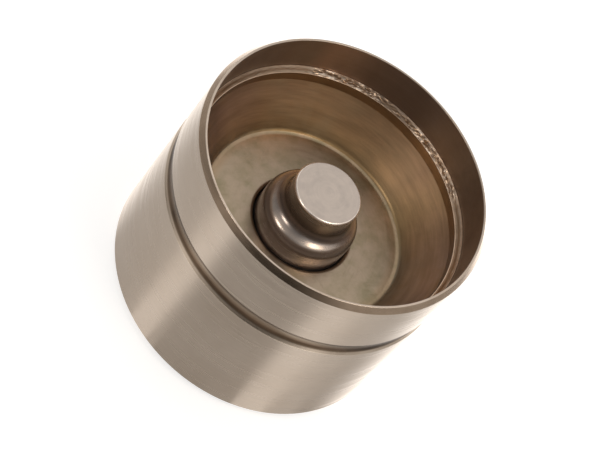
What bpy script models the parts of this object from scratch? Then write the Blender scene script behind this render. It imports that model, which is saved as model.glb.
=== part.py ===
"""Hydraulic bucket tappet, direct acting, as its separate pieces.

The bucket stands on its crown, the closed end that the cam rubs on, with its open end up.
A dished sheet metal insert sits in the open end and carries a guide sleeve on the axis.
The lash adjusting element slides in that sleeve: a housing with a stepped nose for the valve
stem, a piston that stands on the crown, a check ball under its cage, and the two springs.

Frame: origin at the centre of the crown's outer face, +Z towards the open end, metres.
"""
import math

import bmesh
import bpy

MM = 0.001

# Clearances shared by neighbouring pieces
RUNNING_GAP = 0.10 * MM      # radial play of a sliding fit
SEAT_GAP = 0.12 * MM         # between a piece and the face that it rests on
PRESS_GAP = 0.05 * MM        # insert to bucket wall
END_CLEARANCE = 0.35 * MM    # left at the end of the element's stroke

# Bucket
BUCKET_DIAMETER = 35.0 * MM
BUCKET_HEIGHT = 26.0 * MM
CROWN_THICKNESS = 2.8 * MM
CROWN_CHAMFER = 1.0 * MM
CROWN_INNER_FILLET = 1.6 * MM
BARREL_WALL = 1.4 * MM       # wall between crown and insert seat
SKIRT_WALL = 0.75 * MM       # thinner wall round the open end
RIM_CHAMFER_HEIGHT = 0.70 * MM
RIM_CHAMFER_WIDTH = 0.44 * MM
EDGE_BREAK = 0.10 * MM       # rounding left on turned edges

# Oil groove round the bucket, a round-bottomed channel, and its feed hole
GROOVE_DEPTH_BELOW_RIM = 9.1 * MM
GROOVE_WIDTH = 2.2 * MM
GROOVE_DEPTH = 0.38 * MM
GROOVE_LIP = 0.15 * MM
FEED_HOLE_DIAMETER = 1.6 * MM

# Shallow trough under the crown that lets oil into the piston
TROUGH_DEPTH = 0.40 * MM
TROUGH_ROUND = 3.0 * MM
TROUGH_LENGTH = 6.0 * MM
TROUGH_START = 1.6 * MM      # from the axis

# Guide insert: flange, cone, floor and sleeve drawn from one sheet
SHEET = 0.65 * MM
INSERT_BELOW_RIM = 4.94 * MM
INSERT_EDGE_DROP = 0.76 * MM     # slope of the sheared upper edge
FLANGE_HEIGHT = 1.93 * MM
CONE_WIDTH = 3.88 * MM
CONE_DEPTH = 5.13 * MM
FLANGE_BEND = 0.40 * MM
FLOOR_BEND = 0.70 * MM
SLEEVE_LIP = 0.55 * MM

# Element housing
ELEMENT_DIAMETER = 11.6 * MM
ELEMENT_TRAVEL = 2.4 * MM
HOUSING_WALL = 1.2 * MM
NOSE_FACE_DIAMETER = 8.1 * MM
NOSE_REACH = 6.95 * MM           # nose face above the insert's floor
NOSE_THICKNESS = 4.40 * MM       # solid metal behind the nose face
NECK_HEIGHT = 3.10 * MM
SHOULDER_DROP = 1.10 * MM
NOSE_EDGE = 0.22 * MM
NECK_FILLET = 1.60 * MM
SHOULDER_ROUND = 1.60 * MM
BORE_FILLET = 0.30 * MM
HOUSING_CHAMFER = 0.25 * MM

# Retaining ring, a spring wire ring in a groove near the housing's open end
RING_WIRE = 0.70 * MM
RING_GROOVE_DEPTH = 0.42 * MM
RING_PLAY = 0.10 * MM
RING_LAND = 0.50 * MM            # housing left below the ring groove
RING_GAP_ANGLE = 26.0            # opening of the ring, degrees

# Piston and valve seat
PISTON_WALL = 1.5 * MM
PISTON_HEAD = 2.2 * MM
PISTON_CHAMFER = 0.20 * MM
SEAT_HOLE_DIAMETER = 1.8 * MM
SEAT_CONE_DEPTH = 0.45 * MM

# Check ball, its spring and the cage over both
BALL_DIAMETER = 3.2 * MM
BALL_LIFT = 0.25 * MM
BALL_GUIDE_GAP = 0.35 * MM
BALL_SPRING_WIRE = 0.20 * MM
BALL_SPRING_DIAMETER = 1.8 * MM  # over the wire's centre
BALL_SPRING_TURNS = 3.0
BALL_SPRING_RESERVE = 0.25 * MM  # open length left with the ball fully lifted
CAGE_SHEET = 0.30 * MM
CAGE_BEND = 0.25 * MM
CAGE_FLANGE_INSET = 0.6 * MM     # flange edge inside the piston's edge
CAGE_WINDOWS = 3
CAGE_WINDOW_WIDTH = 1.2 * MM
CAGE_WINDOW_HEIGHT = 1.3 * MM
CAGE_WINDOW_SILL = 0.7 * MM

# Return spring between cage flange and housing
RETURN_WIRE = 0.60 * MM
RETURN_SIDE_GAP = 0.45 * MM      # to the housing's bore
RETURN_TURNS = 5.0
CLOSED_TURNS = 0.9               # turns laid flat at each end
COIL_CLOSE_PITCH = 1.12          # pitch of a closed turn, in wire diameters

# Facets
SEGMENTS_BUCKET = 72
SEGMENTS_INSERT = 64
SEGMENTS_HOUSING = 44
SEGMENTS_PISTON = 36
SEGMENTS_CAGE = 24
ARC_TOLERANCE = 0.015 * MM       # how far a fillet's facet may lie from its true arc
GROOVE_FACETS = 6
COIL_FACETS = 14                 # points in one turn of a coil
CUTTER_OVERSHOOT = 1.0 * MM
WELD = 0.00002 * MM

# Radii that neighbours share
bucket_radius = BUCKET_DIAMETER / 2
skirt_bore = bucket_radius - SKIRT_WALL
barrel_bore = bucket_radius - BARREL_WALL
flange_outer = skirt_bore - PRESS_GAP
flange_inner = flange_outer - SHEET
housing_radius = ELEMENT_DIAMETER / 2
housing_bore = housing_radius - HOUSING_WALL
sleeve_bore = housing_radius + RUNNING_GAP
nose_radius = NOSE_FACE_DIAMETER / 2
piston_radius = housing_bore - RUNNING_GAP
ball_radius = BALL_DIAMETER / 2
seat_hole = SEAT_HOLE_DIAMETER / 2
cage_bore = ball_radius + BALL_GUIDE_GAP
return_radius = housing_bore - RETURN_SIDE_GAP - RETURN_WIRE / 2

# Heights above the crown's outer face: open end and insert
groove_height = BUCKET_HEIGHT - GROOVE_DEPTH_BELOW_RIM
insert_top = BUCKET_HEIGHT - INSERT_BELOW_RIM
cone_top = insert_top - FLANGE_HEIGHT
dish_floor = cone_top - CONE_DEPTH

# Heights of the element, from its stop ring and its nose
housing_end = CROWN_THICKNESS + END_CLEARANCE + ELEMENT_TRAVEL
ring_centre = housing_end + RING_LAND + RING_PLAY + RING_WIRE / 2
sleeve_end = ring_centre + RING_WIRE / 2 + SEAT_GAP
nose_top = dish_floor + NOSE_REACH
chamber_top = nose_top - NOSE_THICKNESS

# Heights of the valve, measured from the piston's top face
seat_mouth = seat_hole + SEAT_CONE_DEPTH
ball_contact = ball_radius * math.sin(math.radians(45))
ball_rise = 2 * ball_contact - seat_mouth + SEAT_GAP * math.sqrt(2)
ball_spring_length = BALL_SPRING_TURNS * BALL_SPRING_WIRE + BALL_LIFT + BALL_SPRING_RESERVE
coil_on_ball = ball_radius + BALL_SPRING_WIRE / 2 + SEAT_GAP
ball_spring_rise = ball_rise + math.sqrt(coil_on_ball ** 2 - (BALL_SPRING_DIAMETER / 2) ** 2)
cage_ceiling = ball_spring_rise + ball_spring_length + BALL_SPRING_WIRE / 2 + SEAT_GAP
cage_height = cage_ceiling + CAGE_SHEET
piston_top = chamber_top - END_CLEARANCE - ELEMENT_TRAVEL - cage_height
piston_base = CROWN_THICKNESS + SEAT_GAP


def clear_scene():
    """Remove whatever the scene holds."""
    for thing in list(bpy.data.objects):
        bpy.data.objects.remove(thing, do_unlink=True)


def new_collection(name):
    collection = bpy.data.collections.new(name)
    bpy.context.scene.collection.children.link(collection)
    return collection


def metal(name, colour, roughness):
    """A bare metal surface."""
    material = bpy.data.materials.new(name)
    material.use_nodes = True
    shader = material.node_tree.nodes["Principled BSDF"]
    shader.inputs["Base Color"].default_value = (*colour, 1.0)
    shader.inputs["Metallic"].default_value = 1.0
    shader.inputs["Roughness"].default_value = roughness
    return material


def offset_path(corners, distance):
    """The same corners moved to the right of the path by a distance, with mitred turns."""
    moved = []
    for index, (r, z) in enumerate(corners):
        sides = []
        for start, end in ((index - 1, index), (index, index + 1)):
            if 0 <= start and end < len(corners):
                dr = corners[end][0] - corners[start][0]
                dz = corners[end][1] - corners[start][1]
                length = math.hypot(dr, dz)
                sides.append((dz / length, -dr / length))
        nr = sum(side[0] for side in sides) / len(sides)
        nz = sum(side[1] for side in sides) / len(sides)
        scale = distance / (nr * nr + nz * nz)
        moved.append((r + nr * scale, z + nz * scale))
    return moved


def rounded(corners):
    """Turn (r, z, radius) corners into points, each round corner as a short arc.

    A rounding never takes more than half of the shorter side beside it.
    """
    points = []
    for index, (r, z, radius) in enumerate(corners):
        if radius <= 0 or index in (0, len(corners) - 1):
            points.append((r, z))
            continue
        before, after = corners[index - 1], corners[index + 1]
        to_before = (before[0] - r, before[1] - z)
        to_after = (after[0] - r, after[1] - z)
        length_before, length_after = math.hypot(*to_before), math.hypot(*to_after)
        u = (to_before[0] / length_before, to_before[1] / length_before)
        v = (to_after[0] / length_after, to_after[1] / length_after)
        opening = math.acos(max(-1.0, min(1.0, u[0] * v[0] + u[1] * v[1])))
        turn = math.pi - opening
        tangent = min(radius * math.tan(turn / 2), 0.49 * min(length_before, length_after))
        radius = tangent / math.tan(turn / 2)
        bisector = (u[0] + v[0], u[1] + v[1])
        reach = radius / math.sin(opening / 2) / math.hypot(*bisector)
        centre = (r + bisector[0] * reach, z + bisector[1] * reach)
        first = math.atan2(z + u[1] * tangent - centre[1], r + u[0] * tangent - centre[0])
        last = math.atan2(z + v[1] * tangent - centre[1], r + v[0] * tangent - centre[0])
        sweep = (last - first + math.pi) % (2 * math.pi) - math.pi
        facet_turn = 2 * math.acos(1 - min(1.0, ARC_TOLERANCE / radius))
        facets = math.ceil(turn / facet_turn)
        for step in range(facets + 1):
            angle = first + sweep * step / facets
            points.append((centre[0] + radius * math.cos(angle),
                           centre[1] + radius * math.sin(angle)))
    return points


def turned(name, outline, segments, material, base=0.0, closed=False, parent=None):
    """A turned piece: an outline in the XZ plane spun about Z.

    The outline's outer side runs from top to bottom. Its heights are counted from the crown,
    and base is the height of the piece's own origin on the axis.
    """
    mesh = bpy.data.meshes.new(name)
    vertices = [(r, 0.0, z - base) for r, z in outline]
    edges = [(i, i + 1) for i in range(len(outline) - 1)]
    if closed:
        edges.append((len(outline) - 1, 0))
    mesh.from_pydata(vertices, edges, [])
    mesh.materials.append(material)
    piece = bpy.data.objects.new(name, mesh)
    place(piece, base, parent)
    spin = piece.modifiers.new("spin", "SCREW")
    spin.axis = "Z"
    spin.steps = segments
    spin.render_steps = segments
    spin.use_merge_vertices = True
    spin.merge_threshold = WELD
    spin.use_smooth_shade = True
    return piece


def place(piece, base, parent=None):
    """Put a piece in the tappet's collection with its origin on the axis."""
    tappet.objects.link(piece)
    piece.location = (0.0, 0.0, base)
    if parent is not None:
        piece.parent = parent
        piece.location.z = base - heights[parent.name]
    heights[piece.name] = base


def wire(name, points, diameter, material, base, parent=None):
    """A bent wire through points whose heights are counted from the crown."""
    curve = bpy.data.curves.new(name, "CURVE")
    curve.dimensions = "3D"
    curve.bevel_depth = diameter / 2
    curve.bevel_resolution = 2
    curve.use_fill_caps = True
    spline = curve.splines.new("POLY")
    spline.points.add(len(points) - 1)
    for point, (x, y, z) in zip(spline.points, points):
        point.co = (x, y, z - base, 1.0)
    curve.materials.append(material)
    piece = bpy.data.objects.new(name, curve)
    place(piece, base, parent)
    return piece


def cutter(name, create, location, rotation=(0.0, 0.0, 0.0)):
    """A hidden solid that cuts others; create fills its mesh."""
    mesh = bpy.data.meshes.new(name)
    shape = bmesh.new()
    create(shape)
    shape.to_mesh(mesh)
    shape.free()
    solid = bpy.data.objects.new(name, mesh)
    cutters.objects.link(solid)
    solid.location = location
    solid.rotation_euler = rotation
    solid.hide_render = True
    solid.display_type = "WIRE"
    return solid


def cut(piece, solid):
    """Take a cutter's volume out of a piece."""
    boolean = piece.modifiers.new(solid.name, "BOOLEAN")
    boolean.operation = "DIFFERENCE"
    boolean.solver = "EXACT"
    boolean.object = solid


def round_bar(radius, length, segments):
    """Fill a mesh with a bar along its own Z."""
    def create(shape):
        bmesh.ops.create_cone(shape, cap_ends=True, segments=segments,
                              radius1=radius, radius2=radius, depth=length)
    return create


def block(size):
    """Fill a mesh with a box of three sizes."""
    def create(shape):
        bmesh.ops.create_cube(shape, size=1.0)
        bmesh.ops.scale(shape, vec=size, verts=shape.verts)
    return create


def groove_outline():
    """The oil groove's arc across the bucket wall, from its upper lip to its lower."""
    half = GROOVE_WIDTH / 2
    arc = (half ** 2 + GROOVE_DEPTH ** 2) / (2 * GROOVE_DEPTH)
    spread = math.asin(half / arc)
    centre = bucket_radius - GROOVE_DEPTH + arc
    corners = []
    for step in range(GROOVE_FACETS + 1):
        angle = spread * (1 - 2 * step / GROOVE_FACETS)
        lip = GROOVE_LIP if step in (0, GROOVE_FACETS) else 0.0
        corners.append((centre - arc * math.cos(angle), groove_height + arc * math.sin(angle), lip))
    return corners


def insert_surface():
    """Corners of the insert's upper, open side, from its flange down to the sleeve's end."""
    return [
        (flange_inner, insert_top - INSERT_EDGE_DROP),
        (flange_inner, cone_top),
        (flange_inner - CONE_WIDTH, dish_floor),
        (sleeve_bore, dish_floor),
        (sleeve_bore, sleeve_end),
    ]


def insert_seat():
    """Where the bucket's conical seat under the insert starts and ends, as two corners."""
    _, top, bottom, _ = offset_path(insert_surface()[:4], -(SHEET + PRESS_GAP))
    slope = (top[1] - bottom[1]) / (top[0] - bottom[0])
    return [(bore, bottom[1] + (bore - bottom[0]) * slope) for bore in (barrel_bore, skirt_bore)]


def make_bucket(material):
    seat_low, seat_high = insert_seat()
    outline = rounded([
        (0.0, CROWN_THICKNESS, 0.0),
        (barrel_bore, CROWN_THICKNESS, CROWN_INNER_FILLET),
        (*seat_low, 0.0),
        (*seat_high, 0.0),
        (skirt_bore, BUCKET_HEIGHT, EDGE_BREAK),
        (bucket_radius - RIM_CHAMFER_WIDTH, BUCKET_HEIGHT, EDGE_BREAK),
        (bucket_radius, BUCKET_HEIGHT - RIM_CHAMFER_HEIGHT, EDGE_BREAK),
        *groove_outline(),
        (bucket_radius, CROWN_CHAMFER, EDGE_BREAK * 3),
        (bucket_radius - CROWN_CHAMFER, 0.0, EDGE_BREAK * 3),
        (0.0, 0.0, 0.0),
    ])
    bucket = turned("bucket_shell", outline, SEGMENTS_BUCKET, material)
    drill = BARREL_WALL + 2 * CUTTER_OVERSHOOT
    hole = cutter("feed_hole", round_bar(FEED_HOLE_DIAMETER / 2, drill, 16),
                  (0.0, bucket_radius - drill / 2 + CUTTER_OVERSHOOT, groove_height),
                  (math.radians(90), 0.0, 0.0))
    trough = cutter("oil_trough", round_bar(TROUGH_ROUND, TROUGH_LENGTH, 48),
                    (0.0, TROUGH_START + TROUGH_LENGTH / 2,
                     CROWN_THICKNESS - TROUGH_DEPTH + TROUGH_ROUND),
                    (math.radians(90), 0.0, 0.0))
    cut(bucket, hole)
    cut(bucket, trough)
    return bucket


def make_insert(material):
    """One dished sheet: sheared edge, flange, cone, floor, and the sleeve turned down."""
    upper = insert_surface()
    lower = offset_path(upper, -SHEET)
    upper_bends = (0.0, FLANGE_BEND, FLOOR_BEND, SLEEVE_LIP, 0.0)
    lower_bends = (0.0, FLANGE_BEND + SHEET, FLOOR_BEND + SHEET, EDGE_BREAK, 0.0)
    lower[0] = (flange_outer, insert_top)
    under = [(*corner, bend) for corner, bend in zip(lower, lower_bends)]
    over = [(*corner, bend) for corner, bend in zip(upper, upper_bends)]
    outline = rounded(under) + list(reversed(rounded(over)))
    return turned("guide_insert", outline, SEGMENTS_INSERT, material, base=dish_floor, closed=True)


def make_housing(material):
    """The sliding cup with its stepped nose, open towards the crown."""
    shoulder_top = nose_top - NECK_HEIGHT
    groove_floor = housing_radius - RING_GROOVE_DEPTH
    groove_half = RING_WIRE / 2 + RING_PLAY
    outline = rounded([
        (0.0, nose_top, 0.0),
        (nose_radius, nose_top, NOSE_EDGE),
        (nose_radius, shoulder_top, NECK_FILLET),
        (housing_radius, shoulder_top - SHOULDER_DROP, SHOULDER_ROUND),
        (housing_radius, ring_centre + groove_half, 0.0),
        (groove_floor, ring_centre + groove_half, 0.0),
        (groove_floor, ring_centre - groove_half, 0.0),
        (housing_radius, ring_centre - groove_half, 0.0),
        (housing_radius, housing_end + HOUSING_CHAMFER, 0.0),
        (housing_radius - HOUSING_CHAMFER, housing_end, 0.0),
        (housing_bore + HOUSING_CHAMFER, housing_end, 0.0),
        (housing_bore, housing_end + HOUSING_CHAMFER, 0.0),
        (housing_bore, chamber_top, BORE_FILLET),
        (0.0, chamber_top, 0.0),
    ])
    return turned("inner_housing", outline, SEGMENTS_HOUSING, material, base=housing_end)


def make_ring(material, housing):
    """The open wire ring that stops the housing at the sleeve's lower end."""
    radius = housing_radius - RING_GROOVE_DEPTH + RING_PLAY + RING_WIRE / 2
    opening = math.radians(RING_GAP_ANGLE)
    turn = 2 * math.pi - opening
    count = 2 * COIL_FACETS
    points = []
    for step in range(count + 1):
        angle = opening / 2 + turn * step / count
        points.append((radius * math.cos(angle), radius * math.sin(angle), ring_centre))
    return wire("retaining_ring", points, RING_WIRE, material, ring_centre, housing)


def make_piston(material):
    """The piston on the crown: oil store below, valve seat in its head."""
    store = piston_radius - PISTON_WALL
    outline = rounded([
        (seat_hole, piston_top - SEAT_CONE_DEPTH, 0.0),
        (seat_mouth, piston_top, 0.0),
        (piston_radius - PISTON_CHAMFER, piston_top, 0.0),
        (piston_radius, piston_top - PISTON_CHAMFER, 0.0),
        (piston_radius, piston_base + PISTON_CHAMFER, 0.0),
        (piston_radius - PISTON_CHAMFER, piston_base, 0.0),
        (store, piston_base, 0.0),
        (store, piston_top - PISTON_HEAD, BORE_FILLET),
        (seat_hole, piston_top - PISTON_HEAD, 0.0),
    ])
    return turned("piston", outline, SEGMENTS_PISTON, material, base=piston_base, closed=True)


def make_cage(material, piston):
    """The thin cap over the ball, flanged at its foot and open at its sides for oil."""
    foot = piston_top + SEAT_GAP
    ceiling = piston_top + cage_ceiling
    flange = piston_radius - CAGE_FLANGE_INSET
    outside = cage_bore + CAGE_SHEET
    outline = rounded([
        (0.0, ceiling + CAGE_SHEET, 0.0),
        (outside, ceiling + CAGE_SHEET, CAGE_BEND + CAGE_SHEET),
        (outside, foot + CAGE_SHEET, CAGE_BEND),
        (flange, foot + CAGE_SHEET, 0.0),
        (flange, foot, 0.0),
        (cage_bore, foot, CAGE_BEND),
        (cage_bore, ceiling, CAGE_BEND),
        (0.0, ceiling, 0.0),
    ])
    cage = turned("ball_cage", outline, SEGMENTS_CAGE, material, base=foot, parent=piston)
    reach = outside + CUTTER_OVERSHOOT
    middle = foot + CAGE_WINDOW_SILL + CAGE_WINDOW_HEIGHT / 2
    for index in range(CAGE_WINDOWS):
        angle = 2 * math.pi * index / CAGE_WINDOWS
        size = (reach, CAGE_WINDOW_WIDTH, CAGE_WINDOW_HEIGHT)
        centre = (reach / 2 * math.cos(angle), reach / 2 * math.sin(angle), middle)
        cut(cage, cutter(f"cage_window_{index + 1}", block(size), centre, (0.0, 0.0, angle)))
    return cage


def make_ball(material):
    """The check ball on its seat; its origin is its centre."""
    mesh = bpy.data.meshes.new("check_ball")
    shape = bmesh.new()
    bmesh.ops.create_uvsphere(shape, u_segments=20, v_segments=12, radius=ball_radius)
    shape.to_mesh(mesh)
    shape.free()
    mesh.shade_smooth()
    mesh.materials.append(material)
    ball = bpy.data.objects.new("check_ball", mesh)
    place(ball, piston_top + ball_rise)
    return ball


def coil(radius, low, high, turns, closed_pitch=0.0):
    """Points along a coil about Z; with a closed pitch, its end turns lie nearly flat."""
    count = round(turns * COIL_FACETS)
    closed = CLOSED_TURNS if closed_pitch else 0.0
    flat = closed * closed_pitch
    points = []
    for step in range(count + 1):
        turn = turns * step / count
        if turn < closed:
            height = flat * turn / closed
        elif turn > turns - closed:
            height = high - low - flat * (turns - turn) / closed
        else:
            open_share = (turn - closed) / (turns - 2 * closed)
            height = flat + (high - low - 2 * flat) * open_share
        angle = 2 * math.pi * turn
        points.append((radius * math.cos(angle), radius * math.sin(angle), low + height))
    return points


def make_ball_spring(material, cage):
    low = piston_top + ball_spring_rise
    points = coil(BALL_SPRING_DIAMETER / 2, low, low + ball_spring_length, BALL_SPRING_TURNS)
    return wire("ball_spring", points, BALL_SPRING_WIRE, material, low, cage)


def make_return_spring(material):
    half = RETURN_WIRE / 2
    low = piston_top + 2 * SEAT_GAP + CAGE_SHEET + half
    high = chamber_top - SEAT_GAP - half
    points = coil(return_radius, low, high, RETURN_TURNS, RETURN_WIRE * COIL_CLOSE_PITCH)
    return wire("return_spring", points, RETURN_WIRE, material, low)


def build_tappet():
    ground = metal("ground_steel", (0.42, 0.36, 0.30), 0.32)
    drawn = metal("drawn_sheet_steel", (0.26, 0.19, 0.13), 0.34)
    polished = metal("polished_steel", (0.40, 0.34, 0.30), 0.20)
    lapped = metal("lapped_steel", (0.46, 0.45, 0.43), 0.22)
    pressed = metal("pressed_sheet_steel", (0.38, 0.36, 0.33), 0.36)
    bearing = metal("bearing_steel", (0.56, 0.56, 0.56), 0.12)
    spring = metal("spring_wire", (0.24, 0.23, 0.22), 0.34)
    fine_spring = metal("fine_spring_wire", (0.32, 0.31, 0.30), 0.30)
    ring = metal("ring_wire", (0.20, 0.19, 0.18), 0.38)

    make_bucket(ground)
    make_insert(drawn)
    housing = make_housing(polished)
    make_ring(ring, housing)
    piston = make_piston(lapped)
    cage = make_cage(pressed, piston)
    make_ball(bearing)
    make_ball_spring(fine_spring, cage)
    make_return_spring(spring)


clear_scene()
tappet = new_collection("tappet")
cutters = new_collection("cutters")
heights = {}                     # height of each piece's origin above the crown's outer face
build_tappet()
bpy.context.view_layer.update()
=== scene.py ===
# %% [markdown]
# # A hydraulic bucket tappet in bare steel
#
# The part is a steel cup, 35 mm across, that sits between a cam and a valve. The photograph
# looks down into its open end: a ground cylinder outside with one oil groove, a dished sheet
# metal insert inside, and a stepped nose in the middle that presses on the valve stem.
#
# The CAD frame gives each piece its place. What is added here is the surface: how each piece
# was turned, drawn, ground or polished, and what heat and oil have done to its colour.

# %% Load the fixed frame
import math

import bpy
import numpy as np
from mathutils import Matrix, Vector


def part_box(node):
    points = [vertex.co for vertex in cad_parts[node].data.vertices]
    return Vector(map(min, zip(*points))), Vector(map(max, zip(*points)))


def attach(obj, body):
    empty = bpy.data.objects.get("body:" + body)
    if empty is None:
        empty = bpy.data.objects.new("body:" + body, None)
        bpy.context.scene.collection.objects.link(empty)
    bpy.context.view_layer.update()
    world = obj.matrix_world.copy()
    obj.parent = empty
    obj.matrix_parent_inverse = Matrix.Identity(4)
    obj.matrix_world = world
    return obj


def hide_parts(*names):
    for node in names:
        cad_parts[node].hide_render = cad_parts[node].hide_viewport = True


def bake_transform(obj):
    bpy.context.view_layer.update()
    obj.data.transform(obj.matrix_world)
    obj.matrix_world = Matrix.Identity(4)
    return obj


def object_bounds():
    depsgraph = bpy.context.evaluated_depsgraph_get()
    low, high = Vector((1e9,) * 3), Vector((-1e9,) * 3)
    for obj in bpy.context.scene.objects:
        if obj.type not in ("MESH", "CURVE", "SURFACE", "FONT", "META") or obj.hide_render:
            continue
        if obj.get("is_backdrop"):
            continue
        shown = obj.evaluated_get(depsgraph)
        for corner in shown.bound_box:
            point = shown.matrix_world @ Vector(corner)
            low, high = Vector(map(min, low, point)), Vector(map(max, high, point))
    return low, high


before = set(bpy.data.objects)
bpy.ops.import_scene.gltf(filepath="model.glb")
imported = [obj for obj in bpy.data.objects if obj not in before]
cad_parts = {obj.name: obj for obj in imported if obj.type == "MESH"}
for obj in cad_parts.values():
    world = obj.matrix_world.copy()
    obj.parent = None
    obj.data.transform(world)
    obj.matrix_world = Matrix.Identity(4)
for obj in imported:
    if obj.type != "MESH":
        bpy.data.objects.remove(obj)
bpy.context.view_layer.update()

# %% [markdown]
# ## Sizes
#
# Everything below is in metres, with a name for each size. The big ones come from the frame:
# a node's box gives its radius and its lowest and highest point. The small ones, such as edge
# roundings, are written here in millimetres, because a box can't show them.

# %% Radii and heights from the frame
MM = 0.001

_, bucket_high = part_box("bucket_shell")
insert_low, insert_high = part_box("guide_insert")
housing_low, housing_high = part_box("inner_housing")

bucket_radius, bucket_height = bucket_high.x, bucket_high.z
insert_radius, insert_top, sleeve_end = insert_high.x, insert_high.z, insert_low.z
housing_radius, nose_top, housing_end = housing_high.x, housing_high.z, housing_low.z

print("bucket", round(2 * bucket_radius / MM, 2), "x", round(bucket_height / MM, 2), "mm")

# %% [markdown]
# ## One way to draw a turned section
#
# All three visible pieces are bodies of revolution, so each is drawn as half of its section:
# a list of corners, each with a radius, a height and how much it is rounded. One helper turns
# each rounded corner into a short arc, another spins the finished line round the axis. A lathe
# or a press makes exactly such shapes. Small true roundings matter, because on metal an edge
# is seen as the thin highlight that its rounding catches.

# %% Round the corners of a section
FACETS_IN_A_TURN = 72
LARGEST_SHARE = 0.49   # of a side that one rounding may take, so that two never meet


def rounded(corners):
    """Points of a section whose (radius, height, rounding) corners become arcs."""
    points = []
    for index, (r, z, rounding) in enumerate(corners):
        corner = Vector((r, z))
        if rounding <= 0 or index in (0, len(corners) - 1):
            points.append(corner)
            continue
        before = Vector(corners[index - 1][:2]) - corner
        after = Vector(corners[index + 1][:2]) - corner
        opening = before.angle(after)
        turn = math.pi - opening
        tangent = min(rounding * math.tan(turn / 2),
                      LARGEST_SHARE * min(before.length, after.length))
        radius = tangent / math.tan(turn / 2)
        inward = (before.normalized() + after.normalized()).normalized()
        centre = corner + inward * (radius / math.sin(opening / 2))
        arm = corner + before.normalized() * tangent - centre
        last = corner + after.normalized() * tangent - centre
        sweep = math.copysign(turn, arm.x * last.y - arm.y * last.x)
        facets = max(3, round(turn / (2 * math.pi) * FACETS_IN_A_TURN))
        for step in range(facets + 1):
            c, s = math.cos(sweep * step / facets), math.sin(sweep * step / facets)
            points.append(centre + Vector((arm.x * c - arm.y * s, arm.x * s + arm.y * c)))
    return points


print("a square corner becomes", len(rounded([(0, 0, 0), (1, 0, 0.2), (1, 1, 0)])) - 2, "points")

# %% Spin a section round the axis
ON_AXIS = 1e-7   # metres; a row of points nearer to the axis than this is a single point


def spin(name, section, segments, closed=False, wobble=None):
    """A turned piece from section points; wobble may move the points at each angle."""
    angles = np.arange(segments) * 2 * math.pi / segments
    grid_r = np.repeat(np.array([[p.x] for p in section]), segments, 1)
    grid_z = np.repeat(np.array([[p.y] for p in section]), segments, 1)
    if wobble is not None:
        grid_r, grid_z = wobble(grid_r, grid_z, angles)
    vertices, rows = [], []
    for row_r, row_z in zip(grid_r, grid_z):
        if row_r.max() < ON_AXIS:
            rows.append([len(vertices)] * segments)
            vertices.append((0.0, 0.0, float(row_z[0])))
        else:
            rows.append(list(range(len(vertices), len(vertices) + segments)))
            vertices += list(zip(row_r * np.cos(angles), row_r * np.sin(angles), row_z))
    faces = []
    for upper, lower in zip(rows, rows[1:] + (rows[:1] if closed else [])):
        for here in range(segments):
            beside = (here + 1) % segments
            corners = (upper[here], lower[here], lower[beside], upper[beside])
            faces.append(tuple(dict.fromkeys(corners)))   # a triangle where two are one point
    mesh = bpy.data.meshes.new(name)
    mesh.from_pydata(vertices, [], faces)
    piece = bpy.data.objects.new(name, mesh)
    bpy.context.scene.collection.objects.link(piece)
    print(name, "has", len(faces), "faces")
    return piece


# %% Cut a bar out of a piece
def bore(piece, radius, length, centre):
    """Take a round bar along Y out of a piece, as a drill or a ball cutter would."""
    bpy.ops.mesh.primitive_cylinder_add(vertices=64, radius=radius, depth=length,
                                        location=centre, rotation=(math.radians(90), 0, 0))
    bar = bpy.context.object
    boolean = piece.modifiers.new("bore", "BOOLEAN")
    boolean.solver, boolean.object = "EXACT", bar
    solid = piece.evaluated_get(bpy.context.evaluated_depsgraph_get())
    result = bpy.data.meshes.new_from_object(solid)
    piece.modifiers.clear()
    piece.data = result
    bpy.data.objects.remove(bar)
    print(piece.name, "bored,", len(result.polygons), "faces")


# %% [markdown]
# ## Tools for the finishes
#
# A colour is written as the sRGB hex value that a photograph would give, and turned to the
# linear values that the shader adds up. One helper adds a shader node with its settings and
# links, so that each finish below reads as a short recipe.

# %% Colour and node helpers
def linear(hex_colour):
    """An sRGB hex colour as linear red, green and blue, with full alpha."""
    values = []
    for start in (1, 3, 5):
        value = int(hex_colour[start:start + 2], 16) / 255
        values.append(value / 12.92 if value <= 0.04045 else ((value + 0.055) / 1.055) ** 2.4)
    return (*values, 1.0)


def add_node(tree, kind, inputs=None, stops=None, **settings):
    """Add a node, set its attributes, and give each named input a value or a link.

    stops are the (position, hex colour) stops of a colour ramp. Returns the node.
    """
    made = tree.nodes.new(kind)
    for name, value in settings.items():
        setattr(made, name, value)
    for name, value in (inputs or {}).items():
        if isinstance(value, bpy.types.NodeSocket):
            tree.links.new(value, made.inputs[name])
        else:
            made.inputs[name].default_value = value
    for index, (position, colour) in enumerate(stops or []):
        elements = made.color_ramp.elements
        element = elements[index] if index < len(elements) else elements.new(position)
        element.position, element.color = position, linear(colour)
    return made


print("mid grey #808080 is", round(linear("#808080")[0], 3), "of white in linear light")

# %% [markdown]
# ## Marks that run round the axis
#
# A lathe or a grinding wheel leaves marks that run round the axis, many times longer than they
# are wide. They are drawn with a stretched noise: slow along x and y, quick along the section.
# Height plus radius counts along the section on a wall, a flat face and a cone alike. The real
# marks lie a few hundredths of a millimetre apart, finer than a pixel here, so they are drawn
# a few tenths apart, and faint.

# %% Coordinates of the tappet's surface
def surface_place(tree):
    """Sockets with the place on the piece, its distance from the axis and its height."""
    place = add_node(tree, "ShaderNodeTexCoord").outputs["Object"]
    split = add_node(tree, "ShaderNodeSeparateXYZ", {0: place})
    flat = add_node(tree, "ShaderNodeVectorMath", {0: place, 1: (1, 1, 0)}, operation="MULTIPLY")
    length = add_node(tree, "ShaderNodeVectorMath", {0: flat.outputs[0]}, operation="LENGTH")
    return place, length.outputs["Value"], split.outputs["Z"]


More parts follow.
